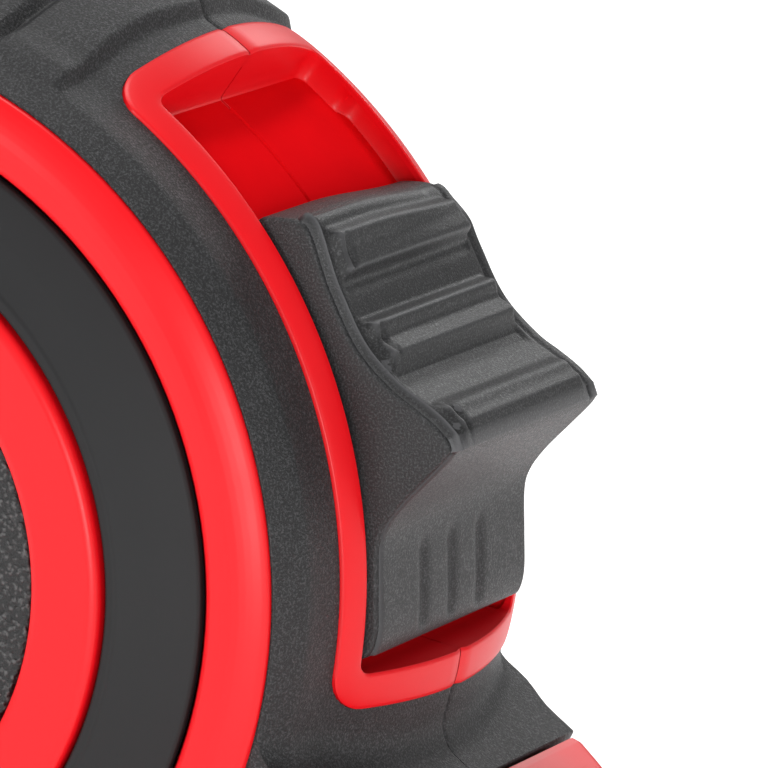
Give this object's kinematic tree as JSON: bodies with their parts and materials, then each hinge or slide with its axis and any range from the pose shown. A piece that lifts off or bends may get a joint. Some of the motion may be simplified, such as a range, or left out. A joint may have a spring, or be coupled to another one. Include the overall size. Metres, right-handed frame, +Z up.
{
  "type": "chalk line reel",
  "caption": "Hand-wound chalk line reel with rubber-gripped round case, thumb lock, geared folding crank, filler door and hook at a sloping nose.",
  "frame": {"origin": "on the underside of the base pad, straight below the spool axis at the case's parting plane", "axes": "+X towards the nose and hook, +Z up from the base, +Y along the spool axis towards the crank side"},
  "size_m": [0.1277, 0.0505, 0.0881],
  "materials": {
    "red_plastic": "smooth glossy moulded red plastic",
    "rubber": "fine-textured black overmoulded rubber",
    "black_plastic": "satin black moulded plastic",
    "badge": "black leather-grained inlay",
    "steel": "zinc-plated steel",
    "brass": "turned brass",
    "nylon": "natural acetal",
    "felt": "pressed wool felt",
    "line": "braided marking line dusted with blue chalk"
  },
  "bodies": {
    "case": {"left_shell": "red_plastic", "right_shell": "red_plastic", "left_grip": "rubber", "right_grip": "rubber", "base_pad": "rubber", "side_cover": "black_plastic", "cover_ring": "red_plastic", "badge_disc": "badge", "detent_spring": "steel", "axle": "steel", "gear_plate": "black_plastic", "shaft_seal": "felt", "ring_gear": "nylon", "door_hinge_pin": "steel", "door_gasket": "felt", "nose_block": "black_plastic", "line_eyelet": "steel", "felt_wiper": "felt", "line_lead": "line", "case_screw_1": "steel", "case_screw_2": "steel", "case_screw_3": "steel", "case_screw_4": "steel", "case_screw_5": "steel"},
    "thumb_lock": {"lock_slider": "black_plastic", "thumb_pad": "rubber"},
    "brake": {"brake_shoe": "nylon"},
    "spool": {"spool": "nylon", "spool_flange": "nylon", "line_pack": "line", "left_bush": "brass", "right_bush": "brass", "sun_gear": "brass"},
    "crank": {"crank_hub": "black_plastic", "hub_screw": "steel", "arm_pin": "steel", "planet_carrier": "steel", "planet_pin_1": "steel", "planet_pin_2": "steel", "planet_pin_3": "steel"},
    "crank_arm": {"crank_arm": "steel", "knob_pin": "steel"},
    "knob": {"crank_knob": "black_plastic"},
    "planet_1": {"planet_gear_1": "nylon"},
    "planet_2": {"planet_gear_2": "nylon"},
    "planet_3": {"planet_gear_3": "nylon"},
    "filler_door": {"fill_door": "black_plastic"},
    "hook": {"hook_plate": "steel", "hook_ferrule": "brass", "line_pull": "line"}
  },
  "joints": [
    {"name": "lock_slide", "type": "hinge", "parent": "case", "child": "thumb_lock", "pos_m": [0, 0, 0.043], "axis": [0, -1, 0], "range_deg": [0, 15]},
    {"name": "brake_lift", "type": "slide", "parent": "case", "child": "brake", "axis": [0.9272, 0, 0.3746], "range_m": [0, 0.00121]},
    {"name": "spool_spin", "type": "hinge", "parent": "case", "child": "spool", "pos_m": [0, 0, 0.043], "axis": [0, 1, 0], "continuous": true},
    {"name": "crank_spin", "type": "hinge", "parent": "case", "child": "crank", "pos_m": [0, 0, 0.043], "axis": [0, 1, 0], "continuous": true},
    {"name": "crank_fold", "type": "hinge", "parent": "crank", "child": "crank_arm", "pos_m": [0, 0.0219, 0.052], "axis": [1, 0, 0], "range_deg": [0, 180]},
    {"name": "knob_spin", "type": "hinge", "parent": "crank_arm", "child": "knob", "pos_m": [0, 0.0165, 0.021], "axis": [0, 1, 0], "continuous": true},
    {"name": "planet_1_spin", "type": "hinge", "parent": "crank", "child": "planet_1", "pos_m": [0.0144, 0.0074, 0.043], "axis": [0, 1, 0], "continuous": true},
    {"name": "planet_2_spin", "type": "hinge", "parent": "crank", "child": "planet_2", "pos_m": [-0.0072, 0.0074, 0.05547], "axis": [0, 1, 0], "continuous": true},
    {"name": "planet_3_spin", "type": "hinge", "parent": "crank", "child": "planet_3", "pos_m": [-0.0072, 0.0074, 0.03053], "axis": [0, 1, 0], "continuous": true},
    {"name": "door_swing", "type": "hinge", "parent": "case", "child": "filler_door", "pos_m": [-0.03717, 0, 0.06235], "axis": [0, -1, 0], "range_deg": [0, 100]},
    {"name": "hook_pull", "type": "slide", "parent": "case", "child": "hook", "axis": [1, 0, 0], "range_m": [0, 0.025]}
  ],
  "couplings": [
    {"joint": "brake_lift", "follows": "lock_slide", "m_per_rad": 0.004584},
    {"joint": "crank_spin", "follows": "spool_spin", "ratio": 0.16667},
    {"joint": "planet_1_spin", "follows": "spool_spin", "ratio": -0.41667},
    {"joint": "planet_2_spin", "follows": "spool_spin", "ratio": -0.41667},
    {"joint": "planet_3_spin", "follows": "spool_spin", "ratio": -0.41667}
  ]
}
